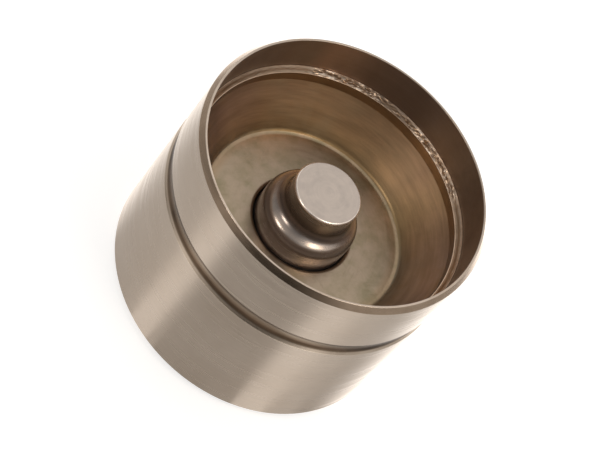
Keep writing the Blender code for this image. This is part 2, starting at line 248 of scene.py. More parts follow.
def around(tree):
    """0 to 1 once round the axis, from -180 to 180 degrees, with +X at 0 degrees."""
    place, _, _ = surface_place(tree)
    split = add_node(tree, "ShaderNodeSeparateXYZ", {0: place})
    angle = add_node(tree, "ShaderNodeMath", {
        0: split.outputs["Y"], 1: split.outputs["X"]}, operation="ARCTAN2")
    share = add_node(tree, "ShaderNodeMapRange", {
        "Value": angle.outputs[0], "From Min": -math.pi, "From Max": math.pi})
    return share.outputs["Result"]


def by_angle(tree, pairs):
    """A colour that changes round the axis, from (degrees, hex colour) pairs.

    Pairs that reach from -180 to 180 end in the colour that they start with, so there is no
    seam.
    """
    stops = [((degrees + 180) / 360, colour) for degrees, colour in pairs]
    ramp = add_node(tree, "ShaderNodeValToRGB", {"Fac": around(tree)}, stops=stops)
    return ramp.outputs["Color"]


def by_place(tree, place, start, end, stops):
    """A colour that changes with a radius or a height, from (share, hex colour) stops."""
    share = add_node(tree, "ShaderNodeMapRange", {
        "Value": place, "From Min": start, "From Max": end})
    ramp = add_node(tree, "ShaderNodeValToRGB", {"Fac": share.outputs["Result"]}, stops=stops)
    return ramp.outputs["Color"]


# %% Turned marks, soft stains and scratches
def turned_marks(tree, spacing, streak):
    """Noise whose marks run round the axis, about spacing apart and streak long."""
    place, radius, height = surface_place(tree)
    along = add_node(tree, "ShaderNodeMath", {0: height, 1: radius})
    lift = add_node(tree, "ShaderNodeCombineXYZ", {"Z": along.outputs[0]})
    flat = add_node(tree, "ShaderNodeVectorMath", {0: place, 1: (1, 1, 0)}, operation="MULTIPLY")
    both = add_node(tree, "ShaderNodeVectorMath", {0: flat.outputs[0], 1: lift.outputs[0]})
    scaled = add_node(tree, "ShaderNodeVectorMath", {
        0: both.outputs[0], 1: (1 / streak, 1 / streak, 1 / spacing)}, operation="MULTIPLY")
    noise = add_node(tree, "ShaderNodeTexNoise", {
        "Vector": scaled.outputs[0], "Scale": 1.0, "Detail": 3.0, "Roughness": 0.6})
    return noise.outputs["Fac"]


def stains(tree, size):
    """Soft uneven patches of about the given size."""
    place, _, _ = surface_place(tree)
    noise = add_node(tree, "ShaderNodeTexNoise", {
        "Vector": place, "Scale": 1 / size, "Detail": 4.0, "Roughness": 0.6})
    return noise.outputs["Fac"]


def scratches(tree, length, width, heading):
    """1 on a few thin straight lines that run at the heading, in degrees, and 0 elsewhere."""
    place, _, _ = surface_place(tree)
    turned = add_node(tree, "ShaderNodeVectorRotate", {
        "Vector": place, "Angle": math.radians(heading)}, rotation_type="Z_AXIS")
    scaled = add_node(tree, "ShaderNodeVectorMath", {
        0: turned.outputs[0], 1: (1 / length, 1 / width, 1 / length)}, operation="MULTIPLY")
    noise = add_node(tree, "ShaderNodeTexNoise", {
        "Vector": scaled.outputs[0], "Scale": 1.0, "Detail": 1.0})
    line = add_node(tree, "ShaderNodeMapRange", {
        "Value": noise.outputs["Fac"], "From Min": 0.66, "From Max": 0.74})
    return line.outputs["Result"]


# %% [markdown]
# ## One recipe for worked steel
#
# Bare steel is a metal in the shader: metallic 1, and all its colour is the tint of what it
# mirrors. Where a film of dried oil lies on it, a few hundredths are taken off the metallic
# value. The finishes differ in tint, in roughness, and in which way their marks run. Fine
# parallel marks blur a reflection across themselves and keep it sharp along themselves, which
# draws the upright bright bands on a ground cylinder. The shader's anisotropy does that, with
# a tangent that runs round the axis, turned by a quarter to point across the marks.

# %% The recipe
# the values between which the noise of the marks, and that of the stains, mostly lies
GRAIN_LOW, GRAIN_HIGH = 0.3, 0.7
STAIN_LOW, STAIN_HIGH = 0.42, 0.66
# stray scratches: heading in degrees and length in mm; a real one is finer than a pixel here
SCRATCHES = [(24, 5), (-47, 4), (78, 6)]
SCRATCH_WIDTH = 0.09 * MM
MARK_DARK, MARK_PALE = 0.93, 1.05   # how far the marks shade the tint
QUARTER_TURN = 0.25
MICRON = 0.001 * MM


def worked_steel(name, tint, roughness, marks=(0.3, 9.0), mark_height=1.5, across=0.0,
                 stain=(7.0, "#8c8071", 0.35), lines=0.0, spread=0.05, film=0.0):
    """Bare steel with marks round the axis; lengths in mm and mark_height in microns.

    tint is a hex colour, or a function that takes the tree and returns a colour socket. stain
    is size, colour and share. across is how far a reflection is drawn out across the marks.
    lines is how clear a few stray scratches are. spread is how far the roughness varies.
    film is the share of the surface that dried oil covers, which scatters light.
    """
    material = bpy.data.materials.new(name)
    material.use_nodes = True
    tree = material.node_tree
    shader = tree.nodes["Principled BSDF"]
    shader.inputs["Metallic"].default_value = 1.0 - film
    grain = turned_marks(tree, marks[0] * MM, marks[1] * MM)
    size, stain_colour, share = stain
    cloud = add_node(tree, "ShaderNodeMapRange", {
        "Value": stains(tree, size * MM), "From Min": STAIN_LOW, "From Max": STAIN_HIGH,
        "To Max": share})
    stained = add_node(tree, "ShaderNodeMix", {
        "Factor": cloud.outputs["Result"], "A": tint(tree) if callable(tint) else linear(tint),
        "B": linear(stain_colour)}, data_type="RGBA")
    shade = add_node(tree, "ShaderNodeMapRange", {
        "Value": grain, "From Min": GRAIN_LOW, "From Max": GRAIN_HIGH,
        "To Min": MARK_DARK, "To Max": MARK_PALE})
    toned = add_node(tree, "ShaderNodeVectorMath", {
        0: stained.outputs["Result"], 1: shade.outputs["Result"]}, operation="MULTIPLY")
    tree.links.new(toned.outputs[0], shader.inputs["Base Color"])
    rough = add_node(tree, "ShaderNodeMapRange", {
        "Value": grain, "From Min": GRAIN_LOW, "From Max": GRAIN_HIGH,
        "To Min": roughness - spread, "To Max": roughness + spread})
    tree.links.new(rough.outputs["Result"], shader.inputs["Roughness"])
    height = grain
    if lines:
        for heading, length in SCRATCHES:
            line = scratches(tree, length * MM, SCRATCH_WIDTH, heading)
            groove = add_node(tree, "ShaderNodeMath", {0: line, 1: lines}, operation="MULTIPLY")
            height = add_node(tree, "ShaderNodeMath", {
                0: height, 1: groove.outputs[0]}, operation="SUBTRACT").outputs[0]
    if across:
        shader.inputs["Anisotropic"].default_value = across
        shader.inputs["Anisotropic Rotation"].default_value = QUARTER_TURN
        tangent = add_node(tree, "ShaderNodeTangent", direction_type="RADIAL", axis="Z")
        tree.links.new(tangent.outputs[0], shader.inputs["Tangent"])
    bump = add_node(tree, "ShaderNodeBump", {
        "Height": height, "Strength": 1.0, "Distance": mark_height * MICRON})
    tree.links.new(bump.outputs["Normal"], shader.inputs["Normal"])
    print(name, "made from", len(tree.nodes), "nodes")
    return material


# %% Give a piece's faces their finishes
CRISP_ANGLE = math.radians(32)   # an edge sharper than this stays an edge in the shading
# how near to a surface a face's middle has to be, to count as a part of it
NEAR, VERY_NEAR = 0.1 * MM, 0.04 * MM


def finish(piece, materials, zone):
    """Each face gets the material that zone(radius, height) returns for its middle."""
    piece.data.materials.clear()
    for material in materials:
        piece.data.materials.append(material)
    for face in piece.data.polygons:
        x, y, z = face.center
        face.material_index = materials.index(zone(math.hypot(x, y), z))
    piece.data.shade_smooth()
    piece.data.set_sharp_from_angle(angle=CRISP_ANGLE)
    print(piece.name, "finished in", ", ".join(material.name for material in materials))


# %% [markdown]
# ## The insert, drawn first because the bucket's seat follows it
#
# The dish is drawn from sheet steel and pressed into the skirt. The shear left its edge as a
# slope between two narrow lands, which catch the light as two fine lines. In two places the
# sheet tore instead, and is rough and sparkling there. The torn parts' points are pushed about
# by many layered waves of different lengths, which gives long flakes of some tenths of a
# millimetre without any pattern.

# %% The insert's section
sheet = 0.65 * MM
press_gap = 0.05 * MM
running_play = 0.10 * MM
edge_drop = 0.67 * MM
edge_land = 0.08 * MM
land_drop = 0.3 * edge_land
flange_height = 1.93 * MM
cone_width = 3.88 * MM
cone_depth = 5.13 * MM
EDGE_ROWS = 12

sleeve_bore = housing_radius + running_play
flange_inner = insert_radius - sheet
dish_floor = insert_top - flange_height - cone_depth

upper_side = [
    (flange_inner, insert_top - edge_drop), (flange_inner, insert_top - flange_height),
    (flange_inner - cone_width, dish_floor), (sleeve_bore, dish_floor),
    (sleeve_bore, sleeve_end)]


def offset_path(corners, distance):
    """The corners moved to the left of their path by a distance, with mitred turns."""
    points = [Vector(corner) for corner in corners]
    steps = [(b - a).normalized() for a, b in zip(points, points[1:])]
    sides = [Vector((-step.y, step.x)) for step in steps]
    moved = []
    for point, one, other in zip(points, sides[:1] + sides, sides + sides[-1:]):
        normal = (one + other) / 2
        moved.append(tuple(point + normal * (distance / normal.length_squared)))
    return moved


lower_side = offset_path(upper_side, sheet)
lower_side[0] = (insert_radius, insert_top)
# how each corner is rounded, from the edge to the sleeve's end
upper_bends = (0.0, 0.24 * MM, 1.00 * MM, 0.55 * MM, 0.0)
lower_bends = (0.0, 0.89 * MM, 1.65 * MM, 0.10 * MM, 0.0)
over = rounded([(*corner, bend) for corner, bend in zip(upper_side, upper_bends)])
under = rounded([(*corner, bend) for corner, bend in zip(lower_side, lower_bends)])
inner_land = Vector((flange_inner + edge_land, insert_top - edge_drop + land_drop))
outer_land = Vector((insert_radius - edge_land, insert_top))
torn = [inner_land.lerp(outer_land, row / EDGE_ROWS) for row in range(EDGE_ROWS + 1)]
insert_section = under + over[::-1] + torn
print("insert's section has", len(insert_section), "points, with the floor at",
      round(dish_floor / MM, 2), "mm")

# %% Roughen the torn edge
# angle round the axis in degrees, and how far the sheet tore there
TORN = [(44, 0.0), (54, 1.0), (76, 1.0), (86, 0.25), (97, 0.25), (105, 1.0), (122, 1.0),
        (132, 0.0)]
SHEARED_DEPTH = 0.008 * MM
TORN_DEPTH = 0.075 * MM
WAVES = 40
FEWEST_TURNS, MOST_TURNS = 24, 140   # of a wave, in one round of the edge
SLANT = 16   # radians that a wave may shift from the inner land to the outer one
SIDEWAYS = 0.4   # of a flake's height, towards the axis


def tear(grid_r, grid_z, angles):
    """Push the sloping edge's points about, most in the middle of the slope."""
    first = len(insert_section) - len(torn)
    share = np.clip((np.arange(len(insert_section)) - first) / EDGE_ROWS, 0, 1)[:, None]
    depth = SHEARED_DEPTH + TORN_DEPTH * np.interp(np.degrees(angles), *zip(*TORN))
    random = np.random.default_rng(7)
    lumps = np.zeros_like(grid_z)
    # each wave has its own number of turns, its own slant and its own start
    for _ in range(WAVES):
        turns, slant = random.integers(FEWEST_TURNS, MOST_TURNS), random.uniform(-SLANT, SLANT)
        lumps += np.sin(turns * angles + slant * share + random.uniform(0, 6.3))
    lumps *= depth / math.sqrt(WAVES / 2) * np.sin(math.pi * share) ** 0.6
    return grid_r - SIDEWAYS * np.abs(lumps), grid_z + lumps


insert = spin("insert", insert_section, 1024, closed=True, wobble=tear)
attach(insert, "bucket")
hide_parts("guide_insert")

# %% [markdown]
# The sheet was drawn with oil and then heated with the bucket, so it carries a thin oxide: olive
# beige on the floor, bronze on the cone, browner towards the flange. The tint is a colour ramp
# over the distance from the axis. On the cone it is also painted lighter and darker round the
# axis, which is painted light and shade, and it has streaks round the axis where the die rubbed.
# The floor was ironed flat in the press, so it is smoother than the cone, and it has a few stray
# scratches from handling.

# %% The insert's finishes
def oxide_tint(tree):
    """Olive beige near the axis, then bronze, then brown at the flange."""
    _, radius, _ = surface_place(tree)
    return by_place(tree, radius, 5.5 * MM, 16.5 * MM, [
        (0.00, "#85745f"), (0.10, "#a18f7b"), (0.48, "#a7957f"), (0.55, "#a68f75"),
        (0.60, "#a18a70"), (0.64, "#b39c86"), (0.70, "#d5b59d"), (0.90, "#d5b29f"),
        (1.00, "#c2a28e")])


def rubbed_tint_with_painted_light(tree):
    """The same, with painted light and shade round the axis, and streaks where the die rubbed."""
    # painted light and shade round the axis: lighter at about 20 to 95 degrees, darkest at 180
    cone_painted_light_by_angle = by_angle(tree, [
        (-180, "#a2a5a7"), (-90, "#b6b6b2"), (20, "#deeaee"), (35, "#eeecd7"),
        (50, "#fff8d4"), (65, "#cfc7ae"), (95, "#e4d8b6"), (122, "#b5a787"), (148, "#c8bda0"),
        (170, "#c2c1ba"), (180, "#a2a5a7")])
    rubbed = add_node(tree, "ShaderNodeMapRange", {
        "Value": turned_marks(tree, 1.1 * MM, 6.0 * MM), "From Min": 0.36, "From Max": 0.66,
        "To Min": 0.83, "To Max": 1.08})
    shaded = add_node(tree, "ShaderNodeVectorMath", {
        0: oxide_tint(tree), 1: cone_painted_light_by_angle}, operation="MULTIPLY")
    shaded = add_node(tree, "ShaderNodeVectorMath", {
        0: shaded.outputs[0], 1: rubbed.outputs["Result"]}, operation="MULTIPLY")
    return shaded.outputs[0]


def edge_tint(tree):
    """Brown sheared steel, darker along the slope's middle as painted shade, and pale flakes
    where it tore.
    """
    base = by_angle(tree, [
        (-180, "#b59f8a"), (0, "#c8af97"), (35, "#dfc5ab"), (76, "#dfc5ab"), (86, "#b8a18c"),
        (102, "#b8a18c"), (116, "#cfb59d"), (130, "#b29c87"), (148, "#bea790"),
        (180, "#b59f8a")])
    _, _, height = surface_place(tree)
    # painted shade: darker along the middle of the slope, between the two lands
    painted_slope_shade = by_place(tree, height, insert_top - edge_drop, insert_top, [
        (0.22, "#ffffff"), (0.42, "#c4b9ae"), (0.60, "#c4b9ae"), (0.80, "#ffffff")])
    shaded = add_node(tree, "ShaderNodeVectorMath", {0: base, 1: painted_slope_shade}, operation="MULTIPLY")
    # greys that follow TORN; the power undoes, nearly, what linear() does to them
    torn_here = by_angle(tree, [
        (angle, "#" + 3 * f"{round(255 * amount ** 0.45):02x}") for angle, amount in TORN])
    flakes = add_node(tree, "ShaderNodeMapRange", {
        "Value": turned_marks(tree, 0.3 * MM, 1.3 * MM), "From Min": 0.5, "From Max": 0.62})
    pale = add_node(tree, "ShaderNodeMath", {
        0: flakes.outputs["Result"], 1: torn_here}, operation="MULTIPLY")
    mix = add_node(tree, "ShaderNodeMix", {
        "Factor": pale.outputs[0], "A": shaded.outputs[0], "B": linear("#f7e7d6")},
        data_type="RGBA")
    return mix.outputs["Result"]


# Drawn sheet, satin: broad soft reflections, faint drawing marks
drawn_sheet = worked_steel("drawn_sheet_steel", rubbed_tint_with_painted_light, 0.38, marks=(0.3, 4.0),
                           mark_height=3.5, stain=(4.0, "#9a8464", 0.35), film=0.11)
# Ironed floor: half glossy, so it mirrors the far side of the room as a soft light patch
ironed_floor = worked_steel("ironed_sheet_steel", oxide_tint, 0.33, marks=(0.5, 5.0),
                            mark_height=1.5, stain=(2.4, "#80775a", 0.60), lines=3.0)
# Sheared and torn edge: satin, with flakes that each mirror another light where it tore
torn_edge = worked_steel("sheared_torn_steel", edge_tint, 0.40, marks=(0.25, 1.5),
                         mark_height=6.0, stain=(1.2, "#a88c73", 0.5), spread=0.1)

plain_sleeve = 1.0 * MM   # at its lower end the sleeve wasn't ironed


def insert_zone(r, z):
    """The edge's slope, then the floor inside the cone's foot, then all the rest."""
    if z > insert_top - edge_drop - VERY_NEAR and r > flange_inner - NEAR:
        return torn_edge
    if r < flange_inner - cone_width and z > sleeve_end + plain_sleeve:
        return ironed_floor
    return drawn_sheet


finish(insert, [drawn_sheet, ironed_floor, torn_edge], insert_zone)

# %% [markdown]
# ## The bucket
#
# On the real tappet this is one cold-formed steel cup, case hardened, then ground on its outer
# wall. Only worked surfaces are bright. The groove and the bore keep the brown of the heat
# treatment. One section gives it all, spun with more segments than the CAD solid has, because
# a ground wall is where a facet would show first.

# %% The bucket's section
crown_thickness = 2.8 * MM
crown_chamfer = 1.0 * MM
crown_fillet = 1.6 * MM
skirt_wall = 0.75 * MM
barrel_wall = 1.4 * MM
rim_chamfer_height = 0.70 * MM
rim_chamfer_width = 0.50 * MM
edge_break = 0.10 * MM
groove_height = bucket_height - 9.1 * MM
groove_width = 2.2 * MM
groove_depth = 0.38 * MM
groove_lip = 0.15 * MM
GROOVE_FACETS = 18

skirt_bore = bucket_radius - skirt_wall
barrel_bore = bucket_radius - barrel_wall


def groove_corners():
    """The oil groove as an arc between two softened lips."""
    half = groove_width / 2
    arc = (half ** 2 + groove_depth ** 2) / (2 * groove_depth)
    middle = bucket_radius - groove_depth + arc
    corners = []
    for step in range(GROOVE_FACETS + 1):
        angle = math.asin(half / arc) * (1 - 2 * step / GROOVE_FACETS)
        lip = groove_lip if step in (0, GROOVE_FACETS) else 0.0
        across, upwards = arc * math.cos(angle), arc * math.sin(angle)
        corners.append((middle - across, groove_height + upwards, lip))
    return corners


# the seat under the insert's cone runs along it, a press gap away
(_, top, bottom, _) = offset_path(upper_side[:4], sheet + press_gap)
seat = [(r, bottom[1] + (r - bottom[0]) * (top[1] - bottom[1]) / (top[0] - bottom[0]))
        for r in (barrel_bore, skirt_bore)]
bucket_section = rounded([
    (0.0, crown_thickness, 0.0),
    (barrel_bore, crown_thickness, crown_fillet),
    (*seat[0], 0.0),
    (*seat[1], 0.0),
    (skirt_bore, bucket_height, edge_break),
    (bucket_radius - rim_chamfer_width, bucket_height, edge_break),
    (bucket_radius, bucket_height - rim_chamfer_height, edge_break),
    *groove_corners(),
    (bucket_radius, crown_chamfer, 3 * edge_break),
    (bucket_radius - crown_chamfer, 0.0, 3 * edge_break),
    (0.0, 0.0, 0.0),
])
print("bucket's section has", len(bucket_section), "points")

# %% Spin it, then bore the feed hole and the oil trough
feed_hole_radius, feed_drill_length = 0.8 * MM, 3.4 * MM
trough_radius, trough_length, trough_depth = 3.0 * MM, 6.0 * MM, 0.4 * MM
trough_centre = 4.6 * MM

bucket = spin("bucket", bucket_section, 256)
bore(bucket, feed_hole_radius, feed_drill_length,
     (0.0, bucket_radius - barrel_wall / 2, groove_height))
bore(bucket, trough_radius, trough_length,
     (0.0, trough_centre, crown_thickness - trough_depth + trough_radius))
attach(bucket, "bucket")
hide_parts("bucket_shell")


# %% [markdown]
# The heat treatment left the upper bore brown. Its tint changes with the angle round the axis,
# so it stays on the metal from every side: darker at one side, which is painted shade, and
# redder further round. The rim's tint changes by angle in the same way. In the groove, a dark
# brown line below its middle is painted shade, and the pale lip under it a painted highlight.
# Over all of the groove a grey by angle darkens the sides and back, and leaves the front lighter
# as painted light, where the bright bands cross it.

# %% The bucket's finishes
def bore_brown_and_painted_shade(tree):
    """Brown; darker at about 64 to 77 degrees as painted shade, redder at 116 to 127, darker at
    134.
    """
    return by_angle(tree, [
        (-180, "#a99687"), (55, "#ad998a"), (64, "#917e71"), (77, "#928075"),
        (107, "#978172"), (116, "#a58b7a"), (127, "#a38775"), (134, "#918072"),
        (145, "#a69384"), (180, "#a99687")])


def rim_tint(tree):
    """Lighter at the front left, and darker at the back."""
    return by_angle(tree, [
        (-180, "#bdad9d"), (-150, "#cab9a8"), (-120, "#d6c4b3"), (-95, "#c3b2a2"),
        (0, "#c3b2a2"), (30, "#ab9c8e"), (95, "#ab9c8e"), (120, "#b1a293"),
        (150, "#b1a293"), (180, "#bdad9d")])


def groove_tint_with_painted_light(tree):
    """A pale lower lip as a painted highlight, a dark line as painted shade, and painted light by
    angle.
    """
    _, _, height = surface_place(tree)
    half = groove_width / 2
    # painted shade: a dark line below the middle; painted highlight: a pale lower lip
    groove_painted_line_and_lip = by_place(tree, height, groove_height - half, groove_height + half, [
        (0.00, "#ffead2"), (0.11, "#f8e0c8"), (0.17, "#8a7866"), (0.21, "#64523f"),
        (0.30, "#4c3b2e"), (0.40, "#796553"), (0.52, "#8e7d6a"), (0.66, "#988877"),
        (1.00, "#9c8d7f")])
    # painted light: a grey by angle, lighter at the front where the bright bands cross, darker at
    # the sides and back
    groove_painted_light_by_angle = by_angle(tree, [
        (-180, "#adadad"), (-130, "#adadad"), (-114, "#e6e6e6"), (-56, "#e6e6e6"),
        (-44, "#b4b4b4"), (0, "#adadad"), (90, "#bababa"), (180, "#adadad")])
    shaded = add_node(tree, "ShaderNodeVectorMath", {0: groove_painted_line_and_lip, 1: groove_painted_light_by_angle}, operation="MULTIPLY")
    return shaded.outputs[0]


# Ground bearing surface: fine marks round the axis draw upright bands of light
ground_wall = worked_steel("ground_bearing_steel", "#b4a698", 0.30, marks=(0.35, 14.0),
                           mark_height=0.6, across=1.0, stain=(9.0, "#a99a8b", 0.5))
# Turned rim: pale cut steel, satin, so it shows as a light ring
turned_rim = worked_steel("turned_rim_steel", rim_tint, 0.34, marks=(0.25, 8.0),
                          stain=(3.0, "#9c8873", 0.35))
# Turned chamfer: brown and glossy, so it mirrors the room's dark side as a dark line
brown_chamfer = worked_steel("turned_brown_chamfer", "#9a8571", 0.28, marks=(0.2, 7.0),
                             mark_height=0.8, stain=(3.0, "#7b6754", 0.4))
# Hardened bore: satin, brown from the furnace, with painted shade at one side
hardened_bore = worked_steel("hardened_brown_bore", bore_brown_and_painted_shade, 0.42,
                             stain=(6.0, "#7b6455", 0.4), film=0.03)
# Groove: turned before hardening and never ground, so it kept the furnace's brown, with painted
# shade and light in its tint
hardened_groove = worked_steel("hardened_brown_groove", groove_tint_with_painted_light, 0.30,
                               stain=(5.0, "#7d6855", 0.3), film=0.05)
# Crown: lapped for the cam, close to a mirror
lapped_crown = worked_steel("lapped_crown_steel", "#a59a8e", 0.24, marks=(0.3, 12.0),
                            mark_height=0.8, stain=(8.0, "#857a6d", 0.35))

crown_edge = 0.05 * MM   # the lapping reached this far round the crown's edge
groove_reach = 0.56 * groove_width   # from the groove's middle to outside its lips
ground_skin = 0.005 * MM   # the grinding reached no deeper than this


def bucket_zone(r, z):
    """The faces at both ends, the groove and the chamfer, then all inside, then the wall."""
    if z < crown_edge:
        return lapped_crown
    below_the_grinding = barrel_bore + NEAR < r < bucket_radius - ground_skin
    if abs(z - groove_height) < groove_reach and below_the_grinding:
        return hardened_groove
    if z > bucket_height - VERY_NEAR:
        return turned_rim
    if z > bucket_height - rim_chamfer_height and r > bucket_radius - rim_chamfer_width:
        return brown_chamfer
    return hardened_bore if r < skirt_bore + NEAR else ground_wall


finish(bucket, [ground_wall, turned_rim, hardened_bore, hardened_groove, lapped_crown,
                brown_chamfer], bucket_zone)

# %% [markdown]
# ## The nose
#
# The housing of the adjusting element is turned, hardened and polished. Its end face is lapped
# flat, so it shows light grey, with a bright line where its edge is rounded. Its neck runs out
# into the shoulder in one hollow and one round, so smooth that they mirror the dark dish around
# them and draw each lamp twice: once in the hollow and once on the round.

# %% The housing's section
neck_height = 3.10 * MM
shoulder_drop = 1.10 * MM
neck_fillet = 1.60 * MM
shoulder_round = 1.60 * MM
nose_edge = 0.28 * MM
nose_radius = 4.05 * MM
end_chamfer = 0.25 * MM
housing_wall = 1.2 * MM
nose_thickness = 4.40 * MM
chamber_fillet = 0.3 * MM
ring_centre = housing_end + 0.95 * MM
ring_groove_half = 0.45 * MM
ring_groove_depth = 0.42 * MM

housing_bore = housing_radius - housing_wall
ring_groove_floor = housing_radius - ring_groove_depth
chamber_top = nose_top - nose_thickness
shoulder_top = nose_top - neck_height
housing_section = rounded([
    (0.0, nose_top, 0.0),
    (nose_radius, nose_top, nose_edge),
    (nose_radius, shoulder_top, neck_fillet),
    (housing_radius, shoulder_top - shoulder_drop, shoulder_round),
    (housing_radius, ring_centre + ring_groove_half, 0.0),
    (ring_groove_floor, ring_centre + ring_groove_half, 0.0),
    (ring_groove_floor, ring_centre - ring_groove_half, 0.0),
    (housing_radius, ring_centre - ring_groove_half, 0.0),
    (housing_radius, housing_end + end_chamfer, 0.0),
    (housing_radius - end_chamfer, housing_end, 0.0),
    (housing_bore + end_chamfer, housing_end, 0.0),
    (housing_bore, housing_end + end_chamfer, 0.0),
    (housing_bore, chamber_top, chamber_fillet),
    (0.0, chamber_top, 0.0),
])
print("housing's section has", len(housing_section), "points")

# %% Spin the housing
nose = spin("nose_housing", housing_section, 192)
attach(nose, "element")
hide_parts("inner_housing")

# %% [markdown]
# The tint is a ramp over the height. It holds painted shade, darker in the hollow below the
# neck and on the lower round, and painted light, a paler band on the shoulder between them.

# %% The nose's finishes
tinted_height = 6 * MM


def nose_tint_and_painted_shade(tree):
    """Painted shade in the hollow and on the round, painted light on the shoulder, paler above
    and below.
    """
    _, _, height = surface_place(tree)
    return by_place(tree, height, nose_top - tinted_height, nose_top, [
        (0.00, "#c6bdbd"), (0.20, "#b9b1b0"), (0.28, "#86817f"), (0.32, "#8a827a"),
        (0.37, "#baaca0"), (0.42, "#9e928a"), (0.47, "#73706e"), (0.54, "#736b66"),
        (0.68, "#80766f"), (0.85, "#b3aaa3"), (1.00, "#bfb7b0")])


# Polished round the axis: near mirror, tinted with painted shade and light, with a film of dried
# oil
polished_side = worked_steel("polished_housing_steel", nose_tint_and_painted_shade, 0.25, marks=(0.3, 6.0),
                             mark_height=0.5, stain=(3.0, "#8f8178", 0.4), spread=0.04,
                             film=0.07)
# Lapped flat on a plate: fine criss-cross marks, light grey satin
lapped_face = worked_steel("lapped_nose_face", "#bbada1", 0.34, marks=(0.4, 3.0),
                           mark_height=0.8, stain=(1.6, "#a89c93", 0.5), lines=0.4)
# Edge rounded by tumbling: pale where worn bright, and paler still as a painted highlight
worn_edge_and_highlight = worked_steel("worn_nose_edge_and_highlight", "#efe2d6", 0.30, marks=(0.3, 2.0),
                         stain=(0.8, "#c9b6a6", 0.5))

lapped_depth = 0.01 * MM
worn_depth = 0.8 * nose_edge


def nose_zone(r, z):
    """The flat face, its rounded edge, then all the rest."""
    if z > nose_top - lapped_depth:
        return lapped_face
    return worn_edge_and_highlight if z > nose_top - worn_depth else polished_side


finish(nose, [polished_side, lapped_face, worn_edge_and_highlight], nose_zone)

# %% [markdown]
# ## The pieces inside
#
# Ring, piston, cage, ball and springs are closed in, and only a drawing or a cut-away shows
# them. Ring, piston, cage and ball keep their CAD shapes, with a finish each: drawn wire,
# lapped piston steel, pressed sheet and a mirror bright bearing ball.

# %% Finishes for the pieces inside
inner_finishes = {
    # drawn wire in oil: dark and satin
    "retaining_ring": worked_steel("oiled_ring_wire", "#5c564f", 0.36,
                                   stain=(1.5, "#3f3a35", 0.4)),
    # lapped steel: pale, and nearly a mirror
    "piston": worked_steel("lapped_piston_steel", "#a8a49d", 0.22,
                           stain=(4.0, "#8d877e", 0.4)),
    # sheet pressed thin: satin grey
    "ball_cage": worked_steel("pressed_cage_steel", "#8f8a82", 0.34,
                              stain=(1.5, "#6f675c", 0.4)),
    # lapped ball: a mirror, with next to no marks
    "check_ball": worked_steel("mirror_ball_steel", "#c4c2bf", 0.10, mark_height=0.1,
                               stain=(1.0, "#b3afaa", 0.3), spread=0.02),
}
for node_name, material in inner_finishes.items():
    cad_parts[node_name].data.materials.clear()
    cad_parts[node_name].data.materials.append(material)
print(len(inner_finishes), "pieces inside have their finish")

# %% [markdown]
# The two springs are the only pieces that change their length. Each is round wire wound round
# the axis. The return spring's first and last turn are wound closer, as a real one's are, to
# stand flat.

# %% How to wind a spring
WIRE_SIDES = 14
RINGS_IN_A_TURN = 40


def wire_ends(node_name, wire):
    """The wire's lowest and highest middle, from the CAD node's box."""
    lowest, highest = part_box(node_name)
    return lowest.z + wire / 2, highest.z - wire / 2


def wind(name, wire, radius, rise):
    """Round wire along a coil; rise gives (turns, height) pairs from its low end upwards."""
    sides, last_turn = WIRE_SIDES, rise[-1][0]
    turns = np.linspace(0, last_turn, round(last_turn * RINGS_IN_A_TURN) + 1)
    vertices, faces = [], []
    for turn, height in zip(turns, np.interp(turns, *zip(*rise))):
        outward = Vector((math.cos(2 * math.pi * turn), math.sin(2 * math.pi * turn), 0))
        for side in range(sides):
            angle = 2 * math.pi * side / sides
            reach = outward * (radius + wire / 2 * math.cos(angle))
            vertices.append((reach.x, reach.y, height + wire / 2 * math.sin(angle)))
    for ring in range(0, len(vertices) - sides, sides):
        for side in range(sides):
            beside = (side + 1) % sides
            faces.append((ring + side, ring + sides + side, ring + sides + beside, ring + beside))
    faces += [tuple(range(sides)), tuple(reversed(range(len(vertices) - sides, len(vertices))))]
    mesh = bpy.data.meshes.new(name)
    mesh.from_pydata(vertices, [], faces)
    coil = bpy.data.objects.new(name, mesh)
    bpy.context.scene.collection.objects.link(coil)
    print(name, "has", len(faces), "faces")
    return coil


# %% The return spring
return_wire, return_radius = 0.60 * MM, 3.85 * MM
low, high = wire_ends("return_spring", return_wire)
spread = 0.72 * MM
return_coil = wind("return_coil", return_wire, return_radius, [
    (0, low), (0.9, low + spread), (4.1, high - spread), (5, high)])
# Drawn spring steel, oiled: dark, with a soft shine along the wire
spring_wire = worked_steel("drawn_spring_wire", "#6b665f", 0.32, stain=(1.5, "#4c4640", 0.4))
finish(return_coil, [spring_wire], lambda r, z: spring_wire)
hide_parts("return_spring")
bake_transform(return_coil)

# %% The ball's spring
ball_wire, ball_coil_radius = 0.20 * MM, 0.9 * MM
low, high = wire_ends("ball_spring", ball_wire)
spread = 0.14 * MM
ball_coil = wind("ball_coil", ball_wire, ball_coil_radius, [(0, low), (3, high)])
# Fine music wire, paler because it was wound bright
fine_wire = worked_steel("fine_spring_wire", "#86827b", 0.28, stain=(1.0, "#65605a", 0.4))
finish(ball_coil, [fine_wire], lambda r, z: fine_wire)
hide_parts("ball_spring")
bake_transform(ball_coil)

# %% [markdown]
# ## Floor
#
# Bare metal shows nothing but its surroundings, so the surroundings are the picture. The floor
# is a round sheet of white paper, small enough that the groove sees past its edge into the dark
# side of the room. Camera rays see it brighter than it is, which makes the background white and
# keeps the shadow, without more light on the part. In the metal, the paper carries painted light
# and shade, added to its glow for glossy rays: painted light at both sides towards the back, so
# the sides of the cylinder fade into the background, painted shade in front, where the camera
# stands, and two wedges of painted lamp light across it. The ground cylinder looks down at this
# paper, so the painted shade and the wedges are its dark and bright upright bands. Each wedge
# starts beside the wall, and the later ones in the list lie over the earlier ones.

# %% Floor
FLOOR_RADIUS = 90 * MM
FLOOR_DEPTH = 0.01 * MM   # below the crown, so that the two faces never fight
PAPER_LEVEL = 0.60   # how bright the plain paper is in the metal
PAPER_LIFT = 0.68   # what camera rays see on top of the paper's own light
